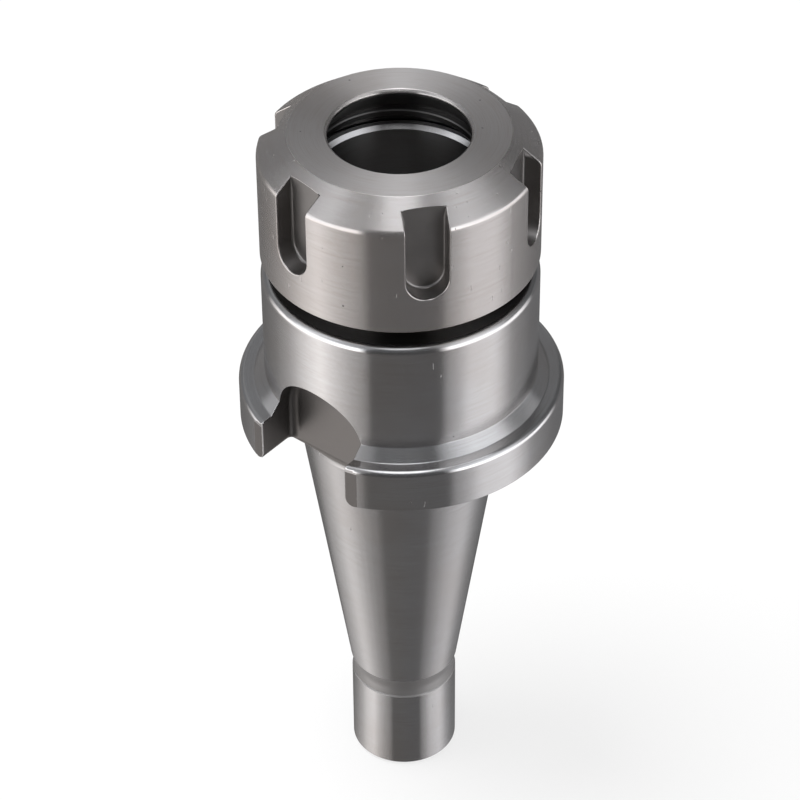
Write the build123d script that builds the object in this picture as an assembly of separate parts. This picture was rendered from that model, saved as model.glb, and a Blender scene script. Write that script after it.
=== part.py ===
from build123d import *
from math import cos, radians, sin, sqrt, tan
import os

# Collet chuck holder: a steep-taper holder body with a slotted clamping nut on its nose.
# It stands on the end face of its tail, with the spindle axis on Z. Millimetres.

# Shank
gauge_diameter = 31.75
taper_ratio = 7 / 24
tail_length = 19.2
taper_length = 49.2
pilot_diameter = 17.0
tail_chamfer = 0.5
relief_start = 15.6
relief_depth = 0.2
relief_lip = 0.25

# Drawbar thread in the tail, drilled to its core
drawbar_core_diameter = 10.2
drawbar_depth = 28.0
drawbar_countersink = 1.2

# Drive flange
rear_face_setback = 1.6
rear_corner_bevel = 0.9
flange_diameter = 50.0
flange_thickness = 7.5
flange_rear_chamfer = 0.3
flange_front_rounding = 0.9
flange_cone_angle = 45.0

# Share of the flange's step over the body that its front cone takes, beside the flat ring
flange_cone_share = 0.425

# Drive key slots
key_slot_width = 16.1
key_slot_floor = 16.2
key_slot_height = 15.95
key_slot_floor_rounding = 1.2
key_slot_rear_flare = 1.5
key_slot_edge_flat = 2.0
key_slot_edge_depth = 0.3

# Plain body and nose
body_diameter = 42.0
shoulder_height = 27.7
shoulder_rounding = 1.2
neck_diameter = 29.0
neck_length = 3.2
thread_diameter = 32.0
thread_pitch = 1.5
pitch_line_share = 0.325
nose_length = 16.1
nose_face_diameter = 28.7
nose_chamfer_angle = 45.0

# Collet socket
socket_mouth_diameter = 25.8
socket_half_angle = 8.0
socket_chamfer = 0.3
shank_bore_diameter = 18.5
shank_bore_depth = 54.0
passage_diameter = 8.5
drill_point_angle = 118.0

# Clamping nut
nut_diameter = 42.0
nut_height = 21.2
shoulder_gap = 2.9
nut_face_diameter = 32.9
nut_cone_height = 3.4
nut_cone_rounding = 1.2
nut_rear_chamfer = 0.4
front_hole_diameter = 21.1
front_hole_land = 0.5
front_hole_chamfer = 0.4
inner_cone_half_angle = 30.0
inner_cone_depth = 2.6
collet_pocket_diameter = 25.6
collet_pocket_depth = 1.0
lip_diameter = 24.2
lip_offset = 0.45
lip_direction = 60.0
lip_thickness = 1.1
thread_relief_diameter = 33.0
thread_relief_length = 2.9
thread_mouth_chamfer = 0.8
thread_clearance = 0.08

# Spanner slots
spanner_slot_count = 6
spanner_slot_width = 6.3
spanner_slot_floor = 17.9
spanner_slot_length = 15.3
spanner_slot_floor_bevel = 0.4
nut_turned = 20.3

# How far a cutter runs past the metal it clears
cutter_overrun = 1.0

# Heights along the axis, from the tail face
gauge_height = tail_length + taper_length
rear_face_height = gauge_height + rear_face_setback
flange_face_height = rear_face_height + flange_thickness
shoulder_face_height = rear_face_height + shoulder_height
nose_face_height = shoulder_face_height + nose_length
nut_rear_height = shoulder_face_height + shoulder_gap
nut_face_height = nut_rear_height + nut_height
pocket_height = nut_face_height - front_hole_chamfer - front_hole_land - inner_cone_depth
lip_height = pocket_height - collet_pocket_depth
lip_rear_height = lip_height - lip_thickness

# Radii and widths that more than one outline needs
gauge_radius = gauge_diameter / 2
taper_small_radius = gauge_radius - taper_length * taper_ratio / 2
pilot_radius = pilot_diameter / 2
flange_radius = flange_diameter / 2
body_radius = body_diameter / 2
flange_cone_width = flange_cone_share * (flange_radius - body_radius)
flange_ring_width = flange_radius - body_radius - flange_cone_width
body_foot_height = flange_face_height + flange_cone_width / tan(radians(flange_cone_angle))
nut_radius = nut_diameter / 2
thread_mean_radius = thread_diameter / 2 - pitch_line_share * thread_pitch
nut_thread_radius = thread_mean_radius + thread_clearance


def rounded_face(corners):
    """Flat face inside a closed outline of (x, y, corner rounding)."""
    points = [(x, y) for x, y, _ in corners]
    roundings = [rounding for _, _, rounding in corners]
    return make_face(FilletPolyline(*points, radius=roundings, close=True))


def turn(corners):
    """Turn a closed outline of (radius, height, corner rounding) about the Z axis."""
    return revolve(Plane.XZ * rounded_face(corners), Axis.Z)


def shank_corners():
    """Outside of the tail and the taper, from the tail face up to the flange's rear face."""
    relief_radius = pilot_radius - relief_depth
    return [
        (pilot_radius - tail_chamfer, 0, 0),
        (pilot_radius, tail_chamfer, 0),
        (pilot_radius, relief_start - relief_lip, 0),
        (relief_radius, relief_start, 0),
        (relief_radius, tail_length - relief_lip, 0),
        (taper_small_radius, tail_length, 0),
        (gauge_radius, gauge_height, 0),
        (gauge_radius, rear_face_height - rear_corner_bevel, 0),
        (gauge_radius + rear_corner_bevel, rear_face_height, 0),
    ]


def flange_corners():
    """Drive flange with its rounded front edge and the cone that runs up into the body."""
    front_rounding = min(flange_front_rounding, flange_ring_width / 2)
    return [
        (flange_radius - flange_rear_chamfer, rear_face_height, 0),
        (flange_radius, rear_face_height + flange_rear_chamfer, 0),
        (flange_radius, flange_face_height, front_rounding),
        (body_radius + flange_cone_width, flange_face_height, 0),
        (body_radius, body_foot_height, 0),
    ]


def nose_corners():
    """Plain body, shoulder, relief neck and the nose at the mean diameter of its thread."""
    nose_face_radius = nose_face_diameter / 2
    chamfer_height = (thread_mean_radius - nose_face_radius) / tan(radians(nose_chamfer_angle))
    neck_radius = neck_diameter / 2
    return [
        (body_radius, shoulder_face_height, shoulder_rounding),
        (neck_radius, shoulder_face_height, 0),
        (neck_radius, shoulder_face_height + neck_length, 0),
        (thread_mean_radius, shoulder_face_height + neck_length, 0),
        (thread_mean_radius, nose_face_height - chamfer_height, 0),
        (nose_face_radius, nose_face_height, 0),
    ]


def bore_corners():
    """Inside of the holder, from the socket mouth down to the drawbar thread."""
    mouth_radius = socket_mouth_diameter / 2
    bore_radius = shank_bore_diameter / 2
    passage_radius = passage_diameter / 2
    core_radius = drawbar_core_diameter / 2
    socket_depth = (mouth_radius - bore_radius) / tan(radians(socket_half_angle))
    bore_floor_height = nose_face_height - shank_bore_depth
    point_slope = tan(radians(drill_point_angle / 2))
    bore_point_depth = (bore_radius - passage_radius) / point_slope
    core_point_depth = (core_radius - passage_radius) / point_slope
    return [
        (mouth_radius + socket_chamfer, nose_face_height, 0),
        (mouth_radius, nose_face_height - socket_chamfer, 0),
        (bore_radius, nose_face_height - socket_depth, 0),
        (bore_radius, bore_floor_height, 0),
        (passage_radius, bore_floor_height - bore_point_depth, 0),
        (passage_radius, drawbar_depth + core_point_depth, 0),
        (core_radius, drawbar_depth, 0),
        (core_radius, drawbar_countersink, 0),
        (core_radius + drawbar_countersink, 0, 0),
    ]


def key_slot_cutter():
    """Round-ended cutter of the drive key slot on the -Y side, flared at the flange's rear face."""
    half_width = key_slot_width / 2
    flared_half_width = half_width + key_slot_rear_flare + cutter_overrun
    round_centre = rear_face_height + key_slot_height - half_width
    open_height = gauge_height - cutter_overrun
    straight_part = rounded_face([
        (half_width, round_centre, 0),
        (half_width, rear_face_height, key_slot_rear_flare),
        (flared_half_width, rear_face_height, 0),
        (flared_half_width, open_height, 0),
        (-flared_half_width, open_height, 0),
        (-flared_half_width, rear_face_height, 0),
        (-half_width, rear_face_height, key_slot_rear_flare),
        (-half_width, round_centre, 0),
    ])
    outline = straight_part + Pos(0, round_centre) * Circle(half_width)
    floor_plane = Plane.XZ.offset(key_slot_floor)
    cutter = extrude(floor_plane * outline, flange_radius - key_slot_floor + cutter_overrun)
    floor_face = cutter.faces().sort_by(Axis.Y)[-1]
    round_edge = floor_face.edges().sort_by(Axis.Z)[-1]
    return fillet(round_edge, key_slot_floor_rounding)


def key_slot_edge_cutter():
    """Wedge that leaves a narrow flat on the flange's rim, beside the key slot on the -Y side."""
    half_width = key_slot_width / 2
    outer_x = half_width + key_slot_edge_flat
    outer_y = sqrt(flange_radius**2 - outer_x**2)
    wall_y = sqrt(flange_radius**2 - half_width**2) - key_slot_edge_depth
    slope = (wall_y - outer_y) / key_slot_edge_flat
    clear_y = flange_radius + cutter_overrun
    section = make_face(Polyline(
        (outer_x, -outer_y),
        (half_width - cutter_overrun, -wall_y - slope * cutter_overrun),
        (half_width - cutter_overrun, -clear_y),
        (outer_x, -clear_y),
        close=True,
    ))
    return extrude(Plane.XY.offset(gauge_height) * section, body_foot_height - gauge_height)


def holder_body():
    """Turned body with its two drive key slots milled half a turn apart."""
    blank = turn(shank_corners() + flange_corners() + nose_corners() + bore_corners())
    edge_cutter = key_slot_edge_cutter()
    cutters = [key_slot_cutter(), edge_cutter, mirror(edge_cutter, Plane.YZ)]
    cutters += [Rot(0, 0, 180) * cutter for cutter in cutters]
    return blank - cutters


def nut_outside_corners():
    """Outside of the nut, from its rear face up to its front face."""
    nut_face_radius = nut_face_diameter / 2
    return [
        (nut_radius - nut_rear_chamfer, nut_rear_height, 0),
        (nut_radius, nut_rear_height + nut_rear_chamfer, 0),
        (nut_radius, nut_face_height - nut_cone_height, nut_cone_rounding),
        (nut_face_radius, nut_face_height, 0),
    ]


def nut_inside_corners():
    """Inside of the nut, from the front hole down to the mouth of the thread, with the lip solid."""
    hole_radius = front_hole_diameter / 2
    cone_top = nut_face_height - front_hole_chamfer - front_hole_land
    cone_radius = hole_radius + inner_cone_depth * tan(radians(inner_cone_half_angle))
    pocket_radius = collet_pocket_diameter / 2
    relief_radius = thread_relief_diameter / 2
    relief_floor = lip_rear_height - thread_relief_length
    return [
        (hole_radius + front_hole_chamfer, nut_face_height, 0),
        (hole_radius, nut_face_height - front_hole_chamfer, 0),
        (hole_radius, cone_top, 0),
        (cone_radius, pocket_height, 0),
        (pocket_radius, pocket_height, 0),
        (pocket_radius, lip_height, 0),
        (hole_radius, lip_height, 0),
        (hole_radius, lip_rear_height, 0),
        (relief_radius, lip_rear_height, 0),
        (relief_radius, relief_floor, 0),
        (nut_thread_radius, relief_floor, 0),
        (nut_thread_radius, nut_rear_height + thread_mouth_chamfer, 0),
        (nut_thread_radius + thread_mouth_chamfer, nut_rear_height, 0),
    ]


def lip_cutter():
    """Off-centre boring that leaves the extraction lip widest at its own direction."""
    centre_x = -lip_offset * cos(radians(lip_direction))
    centre_y = -lip_offset * sin(radians(lip_direction))
    section = Pos(centre_x, centre_y) * Circle(lip_diameter / 2)
    overrun = collet_pocket_depth / 2
    bottom = Plane.XY.offset(lip_rear_height - overrun)
    return extrude(bottom * section, lip_thickness + 2 * overrun)


def spanner_slot_cutter():
    """Round-ended cutter of the spanner slot on the +X side, open at the nut's face."""
    half_width = spanner_slot_width / 2
    round_centre = nut_face_height - spanner_slot_length + half_width
    open_height = nut_face_height + cutter_overrun
    straight_part = Pos(0, (round_centre + open_height) / 2) * Rectangle(
        spanner_slot_width, open_height - round_centre
    )
    outline = straight_part + Pos(0, round_centre) * Circle(half_width)
    floor_plane = Plane.YZ.offset(spanner_slot_floor)
    cutter = extrude(floor_plane * outline, nut_radius - spanner_slot_floor + cutter_overrun)
    floor_face = cutter.faces().sort_by(Axis.X)[0]
    round_edge = floor_face.edges().sort_by(Axis.Z)[0]
    return chamfer(round_edge, spanner_slot_floor_bevel)


def clamping_nut():
    """Turned nut with its off-centre lip and a ring of spanner slots."""
    blank = turn(nut_outside_corners() + nut_inside_corners()) - lip_cutter()
    slot_step = 360 / spanner_slot_count
    cutter = spanner_slot_cutter()
    cutters = [Rot(0, 0, nut_turned + slot * slot_step) * cutter for slot in range(spanner_slot_count)]
    return blank - cutters


os.makedirs("parts", exist_ok=True)
export_step(holder_body(), "parts/holder_body.step")
export_step(clamping_nut(), "parts/clamping_nut.step")
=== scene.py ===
from math import acos, asin, ceil, cos, hypot, pi, radians, sin, sqrt, tan

import bpy
import numpy as np
from mathutils import Matrix, Vector


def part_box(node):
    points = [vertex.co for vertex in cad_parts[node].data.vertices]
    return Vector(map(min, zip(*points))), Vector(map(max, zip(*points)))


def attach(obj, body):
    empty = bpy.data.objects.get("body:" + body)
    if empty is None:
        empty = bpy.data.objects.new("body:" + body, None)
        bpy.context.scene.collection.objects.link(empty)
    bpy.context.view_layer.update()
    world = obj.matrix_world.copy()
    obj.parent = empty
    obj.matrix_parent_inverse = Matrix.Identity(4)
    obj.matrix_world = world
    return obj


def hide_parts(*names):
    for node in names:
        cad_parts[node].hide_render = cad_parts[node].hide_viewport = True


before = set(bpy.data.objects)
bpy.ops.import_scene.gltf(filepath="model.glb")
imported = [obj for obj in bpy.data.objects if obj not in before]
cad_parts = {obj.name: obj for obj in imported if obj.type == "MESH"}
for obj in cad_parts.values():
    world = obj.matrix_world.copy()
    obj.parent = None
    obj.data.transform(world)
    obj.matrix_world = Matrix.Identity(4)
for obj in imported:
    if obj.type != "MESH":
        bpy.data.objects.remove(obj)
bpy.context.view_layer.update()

bl_info = {
    "name": "Collet Chuck Holder",
    "version": (1, 0, 0),
    "blender": (4, 5, 0),
    "location": "3D View > Sidebar > Chuck Holder",
    "description": "Turned and ground steel collet chuck holder with its slotted clamping nut",
    "category": "Add Mesh",
}

nut_low, nut_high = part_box("clamping_nut")
FULL_TURN = 2 * pi
HAIR = 1e-6
FINEST = 1e-9
# Finish slots: turned or ground steel; milled slots, darker partly from their dull finish and partly as
# painted shade; recesses in painted shade; the gap under the nut in painted shade.
TURNED, MILLED_AND_SHADED, RECESS_SHADE, GAP_SHADE = 0, 1, 2, 3
END_COLUMNS = 5
HOLDER_COLUMNS = 96
NUT_COLUMNS = 38
SLOT_MARGIN = radians(1.5)


# Sizes and colours


def size(name, millimetres, description):
    """A length, written in millimetres as on a drawing and kept in metres."""
    return bpy.props.FloatProperty(
        name=name,
        description=description,
        default=millimetres / 1000,
        min=0.0,
        precision=5,
        unit="LENGTH",
    )


def slant(name, degrees, description):
    """An angle, written in degrees."""
    return bpy.props.FloatProperty(
        name=name,
        description=description,
        default=radians(degrees),
        subtype="ANGLE",
        unit="ROTATION",
    )


def colour(name, red, green, blue, description):
    """A linear colour."""
    return bpy.props.FloatVectorProperty(
        name=name,
        description=description,
        default=(red, green, blue),
        size=3,
        min=0.0,
        soft_max=1.0,
        subtype="COLOR",
    )


def amount(name, value, description, highest=1.0):
    """A plain number from nought up."""
    return bpy.props.FloatProperty(
        name=name, description=description, default=value, min=0.0, max=highest, precision=3
    )


class HolderSizes(bpy.types.PropertyGroup):
    """Sizes of the holder body, from the tail up to the nose"""

    gauge_diameter: size("Gauge diameter", 31.75, "Wide end of the steep taper")
    taper_length: size("Taper length", 49.2, "Height of the steep taper")
    taper_ratio: amount("Taper ratio", 7 / 24, "Change of diameter for each unit of length")
    tail_length: size("Tail length", 19.2, "Height of the pilot and the relief under the taper")
    pilot_diameter: size("Pilot diameter", 17.0, "Plain cylinder at the tail")
    tail_chamfer: size("Tail chamfer", 0.5, "Chamfer round the tail face")
    relief_start: size("Relief start", 15.6, "Height at which the grinding relief begins")
    relief_depth: size("Relief depth", 0.2, "Depth of the hollow grinding relief")
    relief_sag: size("Relief sag", 0.28, "Depth to which the relief's two slopes point")
    relief_rounding: size("Relief rounding", 4.0, "Rounding between those slopes")
    relief_lip: size("Relief lip", 0.12, "Height of the worn lip at the foot of the relief")
    lip_rounding: size("Lip rounding", 0.36, "Rounding of that lip")
    lip_dulled: size("Lip dulled", 0.264, "How far the relief's dull finish reaches down over the lip")
    rear_face_setback: size("Rear face setback", 1.6, "Flange's rear face above the gauge plane")
    rear_corner: size("Rear corner", 1.3, "Rounding between the shank and the flange's rear face")
    flange_diameter: size("Flange diameter", 50.0, "Outside of the drive flange")
    flange_thickness: size("Flange thickness", 7.5, "Rear face to front face")
    flange_rear_chamfer: size("Flange rear chamfer", 0.3, "Chamfer of the flange's rear edge")
    flange_front_rounding: size("Flange front rounding", 0.9, "Rounding of the flange's front edge")
    flange_cone_height: size("Flange cone height", 1.7, "Cone between the flange and the body")
    inner_corner: size("Inner corner", 0.25, "Rounding that the tool leaves in the turned inner corners")
    body_diameter: size("Body diameter", 42.0, "Plain body above the flange")
    shoulder_height: size("Shoulder height", 27.7, "Shoulder above the flange's rear face")
    shoulder_rounding: size("Shoulder rounding", 1.2, "Rounding of the shoulder's edge")
    neck_diameter: size("Neck diameter", 29.0, "Thread relief under the nose")
    neck_length: size("Neck length", 3.2, "Height of the thread relief")
    nose_length: size("Nose length", 16.1, "Shoulder to nose face")
    nose_face_diameter: size("Nose face diameter", 28.7, "Outside of the nose's end face")
    nose_crest_diameter: size("Nose thread crest", 31.0, "Outside of the nose thread")
    nose_root_diameter: size("Nose thread root", 30.2, "Root of the nose thread")
    nose_pitch: size("Nose thread pitch", 1.5, "Pitch of the thread under the nut")
    socket_mouth_diameter: size("Socket mouth", 25.8, "Wide end of the collet socket")
    socket_half_angle: slant("Socket half angle", 8.0, "Half of the collet socket's taper")
    socket_chamfer: size("Socket chamfer", 0.62, "Chamfer round the socket's mouth")
    shank_bore_diameter: size("Shank bore", 18.5, "Straight bore behind the socket")
    shank_bore_depth: size("Shank bore depth", 54.0, "Depth of that bore from the nose face")
    passage_diameter: size("Passage", 8.5, "Bore that joins the shank bore and the drawbar thread")
    drill_point: slant("Drill point", 59.0, "Half angle of the drilled ends")
    core_diameter: size("Drawbar thread core", 10.2, "Core of the drawbar thread")
    drawbar_root_diameter: size("Drawbar thread root", 11.9, "Root of the drawbar thread")
    drawbar_pitch: size("Drawbar pitch", 1.75, "Pitch of the drawbar thread")
    drawbar_depth: size("Drawbar depth", 28.0, "Depth of the core from the tail face")
    drawbar_thread_end: size("Drawbar thread end", 24.0, "Height at which the thread runs out")
    drawbar_countersink: size("Drawbar countersink", 1.2, "Countersink in the tail face")
    edge_break: size("Edge break", 0.07, "Deburred edge of every turned corner")


class KeySlotSizes(bpy.types.PropertyGroup):
    """Sizes of the two drive key slots in the flange"""

    width: size("Width", 16.1, "Width across the slot")
    floor: size("Floor", 16.2, "Slot floor from the spindle axis")
    height: size("Height", 15.95, "Rear face to the top of the slot's round end")
    corner: size("Floor corner", 1.2, "Rounding between the floor and the walls")
    flare: size("Rear flare", 1.5, "Rounding of the walls at the flange's rear face")
    rim_break: size("Rim break", 0.16, "Deburred edge round the slot")
    flat_width: size("Edge flat", 2.0, "Narrow flat on the flange beside the slot")
    flat_depth: size("Edge flat depth", 0.3, "Depth of that flat at the slot's wall")


class NutSizes(bpy.types.PropertyGroup):
    """Sizes of the clamping nut"""

    face_diameter: size("Face diameter", 32.9, "Flat front face")
    cone_height: size("Cone height", 3.4, "Cone between the face and the outside")
    cone_rounding: size("Cone rounding", 1.2, "Rounding between the cone and the outside")
    face_edge: size("Face edge", 0.25, "Turned edge between the face and the cone")
    rear_chamfer: size("Rear chamfer", 0.4, "Chamfer of the rear edge")
    hole_diameter: size("Front hole", 21.1, "Hole through the front face")
    hole_land: size("Hole land", 0.5, "Straight land of the front hole")
    hole_chamfer: size("Hole chamfer", 0.4, "Chamfer round the front hole")
    hole_rounding: size("Hole rounding", 0.42, "Rounding of that chamfer's two edges")
    inner_cone_half_angle: slant("Inner cone half angle", 30.0, "Cone that presses the collet")
    inner_cone_depth: size("Inner cone depth", 2.6, "Height of that cone")
    pocket_diameter: size("Pocket", 25.6, "Groove behind the inner cone")
    pocket_depth: size("Pocket depth", 1.0, "Height of that groove")
    lip_diameter: size("Lip", 24.2, "Off-centre bore of the extraction lip")
    lip_offset: size("Lip offset", 0.45, "How far the lip's bore is off centre")
    lip_direction: slant("Lip direction", 60.0, "Direction in which the lip is widest")
    lip_thickness: size("Lip thickness", 1.1, "Height of the extraction lip")
    lip_edge: size("Lip edge", 0.16, "Chamfer of the lip's two edges")
    relief_diameter: size("Thread relief", 33.0, "Groove between the lip and the thread")
    relief_length: size("Thread relief length", 2.9, "Height of that groove")
    thread_crest_diameter: size("Nut thread crest", 31.2, "Bore of the nut's thread")
    thread_root_diameter: size("Nut thread root", 32.0, "Root of the nut's thread")
    thread_mouth_diameter: size("Thread mouth", 32.8, "Chamfer at the rear of the thread")
    edge_break: size("Edge break", 0.06, "Deburred edge of every turned corner")


class SpannerSlotSizes(bpy.types.PropertyGroup):
    """Sizes of the spanner slots round the nut"""

    count: bpy.props.IntProperty(
        name="Slots", description="Spanner slots round the nut", default=6, min=1, max=12
    )
    width: size("Width", 6.3, "Width across a slot")
    floor: size("Floor", 17.9, "Slot floor from the spindle axis")
    length: size("Length", 15.3, "Front face to the slot's round end")
    corner: size("Floor corner", 0.4, "Rounding between the floor and the walls")
    rim_break: size("Rim break", 0.24, "Deburred edge round a slot")
    turned: slant("Turned", 20.3, "Direction of the first slot")


class SteelFinish(bpy.types.PropertyGroup):
    """Colours and surface of the two steels"""

    holder_colour: colour("Holder steel", 0.58, 0.57, 0.568, "Ground steel of the holder")
    nut_colour: colour("Nut steel", 0.515, 0.489, 0.474, "Turned steel of the nut")
    # Painted shade: the holder's bores take this darker colour in place of the shade deep inside them.
    bore_shade_colour: colour("Bored steel", 0.36, 0.35, 0.345, "Dark steel of the holder's bores")
    # Painted shade: the shoulder, neck and thread in the gap under the nut take this dark colour.
    gap_shade_colour: colour("Gap", 0.21, 0.204, 0.2, "Dark steel of the gap under the nut")
    # Painted shade: the nut's insides and rear face take this very dark colour.
    nut_bore_shade_colour: colour("Nut's bores", 0.13, 0.126, 0.123, "Dark steel inside the nut")
    stain_colour: colour("Stain", 0.50, 0.475, 0.455, "Faint oil film on the steel")
    # Partly the dull milled finish and partly painted shade in the key slots.
    key_slot_dull_and_shade_colour: colour("Key slots", 0.18, 0.168, 0.16, "Dull steel of the milled key slots")
    # Partly the dull milled finish and partly painted shade in the spanner slots.
    spanner_slot_dull_and_shade_colour: colour("Spanner slots", 0.29, 0.275, 0.265, "Dull steel of the milled spanner slots")
    relief_colour: colour("Relief", 0.35, 0.338, 0.33, "Duller steel of the tail's relief")
    nick_colour: colour("Nicks", 0.18, 0.168, 0.162, "Small nicks and scratches")
    ground_roughness: amount("Ground roughness", 0.165, "Gloss of the ground surfaces")
    turned_roughness: amount("Turned roughness", 0.20, "Gloss of the turned surfaces")
    bored_roughness: amount("Bored roughness", 0.3, "Gloss of the bores")
    face_roughness: amount("Face roughness", 0.40, "Gloss of the two front faces")
    face_reach: size("Face reach", 16.8, "Radius inside which the faces have that gloss")
    milled_roughness: amount("Milled roughness", 0.42, "Gloss of the milled slots")
    ground_haze: amount("Ground haze", 0.04, "Dull share of the ground surfaces")
    turned_haze: amount("Turned haze", 0.22, "Dull share of the turned surfaces")
    holder_wear: amount("Holder wear", 0.12, "Nicks and scratches on the holder")
    nut_wear: amount("Nut wear", 0.8, "Nicks and scratches on the nut")
    nut_film: amount("Nut film", 0.12, "Oily film on the dull share of the nut")
    lay: amount("Lay", 0.92, "How far the gloss stretches across the tool marks")


class StudioSettings(bpy.types.PropertyGroup):
    """Floor, light and camera"""

    floor_colour: colour("Floor", 0.93, 0.93, 0.93, "Pale floor")
    left_colour: colour("Left cards", 1.0, 0.98, 0.975, "Cards at the left of the part")
    right_colour: colour("Right cards", 0.985, 0.985, 1.01, "Cards at the right of the part")
    high_colour: colour("High cards", 0.955, 0.985, 1.03, "Cards above the part")
    lamp_watts: amount("Lamp", 6.0, "Power of the overhead lamp", 100.0)
    sky_strength: amount("Sky", 0.6, "Even light from all round", 10.0)
    lens: amount("Lens", 147.7, "Focal length in millimetres", 1000.0)
    camera_turn: slant("Camera turn", 39.537, "Direction of the view about the spindle axis")
    camera_tilt: slant("Camera tilt", 50.82, "Tilt of the view from straight down")
    camera_roll: slant("Camera roll", -0.51, "Roll of the view")


CAMERA_PLACE = Vector((0.25065, -0.30406, 0.39246))


# Outlines and rings


def turned_outline(corners, steps=5):
    """Stations along an open outline of corners.

    A corner is (radius, height, rounding), and a station is (radius, height, normal radius, normal height).
    """
    stations = []
    count = len(corners)
    for index, (radius, height, rounding) in enumerate(corners):
        here = np.array([radius, height])
        before = here - np.array(corners[index - 1][:2]) if index else None
        after = np.array(corners[index + 1][:2]) - here if index < count - 1 else None
        directions = [d / hypot(*d) for d in (before, after) if d is not None]
        normals = [np.array([d[1], -d[0]]) for d in directions]
        if len(directions) == 1 or rounding == 0:
            stations += [(radius, height, n[0], n[1]) for n in normals]
            continue
        cross = directions[0][0] * directions[1][1] - directions[0][1] * directions[1][0]
        turn = acos(max(-1.0, min(1.0, float(directions[0] @ directions[1]))))
        reach = rounding * tan(turn / 2)
        side = 1 if cross > 0 else -1
        first = here - directions[0] * reach
        centre = first - side * normals[0] * rounding
        for step in range(steps + 1):
            share = step / steps
            normal = (sin((1 - share) * turn) * normals[0] + sin(share * turn) * normals[1]) / sin(turn)
            place = centre + side * normal * rounding
            stations.append((place[0], place[1], normal[0], normal[1]))
    return stations


def add_stations(stations, heights=(), radii=()):
    """The outline with more stations where it crosses the given heights and radii."""
    full = [stations[0]]
    for start, end in zip(stations, stations[1:]):
        a, b = np.array(start), np.array(end)
        cuts = [(h - a[1]) / (b[1] - a[1]) for h in heights if min(a[1], b[1]) < h < max(a[1], b[1])]
        cuts += [(r - a[0]) / (b[0] - a[0]) for r in radii if min(a[0], b[0]) < r < max(a[0], b[0])]
        full += [tuple(a + (b - a) * cut) for cut in sorted(cuts)]
        full.append(end)
    return full


def points_round(angles, radii, heights, normal, centre=(0.0, 0.0)):
    """Points and normals round the axis, from a normal of (outward, upward)."""
    across, along = np.cos(angles), np.sin(angles)
    level = np.ones_like(angles)
    points = np.stack([centre[0] + radii * across, centre[1] + radii * along, heights * level], axis=1)
    normals = np.stack([normal[0] * across, normal[0] * along, normal[1] * level], axis=1)
    return points, normals


def facing_axes(direction):
    """Unit vectors sideways, outward and upward, for a direction round the axis."""
    return np.array([
        (-sin(direction), cos(direction), 0.0),
        (cos(direction), sin(direction), 0.0),
        (0.0, 0.0, 1.0),
    ])


class Ring:
    """One round of points on a turned surface, with the surface's normal along it."""

    def __init__(self, station, centre=(0.0, 0.0)):
        self.radius, self.height, *self.normal = station
        self.centre = centre

    def at(self, angles):
        """Points and normals at these angles."""
        return points_round(angles, self.radius, self.height, self.normal, self.centre)


class ThreadRing:
    """One turn of a right-hand helix on a thread's crest or root, held between the thread's ends."""

    radius, height = 0.0, -1.0

    def __init__(self, thread, turn, phase, normal):
        self.thread, self.turn, self.phase, self.normal = thread, turn, phase, normal

    def at(self, angles):
        """Points and normals at these angles."""
        low, high = self.thread.low, self.thread.high
        climb = self.turn + self.phase + angles / FULL_TURN
        heights = np.clip(low + self.thread.pitch * climb, low, high)
        return points_round(angles, self.thread.radii(heights, angles), heights, self.normal)


class Thread:
    """A trapezoid thread between two heights, cut off by the cone at its mouth."""

    corner_phases = (0.0, 0.22, 0.5, 0.72, 1.0)
    lead_turns = 2

    def __init__(self, crest, root, pitch, low, high, mouth_radius, mouth_height, inside):
        self.crest, self.root, self.pitch = crest, root, pitch
        self.low, self.high, self.inside = low, high, inside
        self.mouth_radius, self.mouth_height = mouth_radius, mouth_height

    def radii(self, heights, angles):
        """Radius of the thread's surface at these heights and angles."""
        phase = ((heights - self.low) / self.pitch - angles / FULL_TURN) % 1.0
        shape = (self.crest, self.crest, self.root, self.root, self.crest)
        radii = np.interp(phase, self.corner_phases, shape)
        reach = np.abs(heights - self.mouth_height)
        if self.inside:
            return np.maximum(radii, self.mouth_radius - reach)
        return np.minimum(radii, self.mouth_radius + reach)

    def rings(self):
        """Rings from the lower end up, or from the upper end down inside a bore."""
        sign = -1 if self.inside else 1
        rise = self.crest - self.root
        run = (self.corner_phases[2] - self.corner_phases[1]) * self.pitch
        slope = hypot(rise, run)
        flat = (sign, 0.0)
        falling = (sign * run / slope, sign * rise / slope)
        climbing = (sign * run / slope, -sign * rise / slope)
        sides = [(climbing, flat), (flat, falling), (falling, flat), (flat, climbing)]
        turns = ceil((self.high - self.low) / self.pitch) + 1
        rings = []
        for turn in range(-self.lead_turns, turns):
            for phase, normals in zip(self.corner_phases, sides):
                rings += [ThreadRing(self, turn, phase, normal) for normal in normals]
        return rings[::-1] if self.inside else rings


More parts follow.
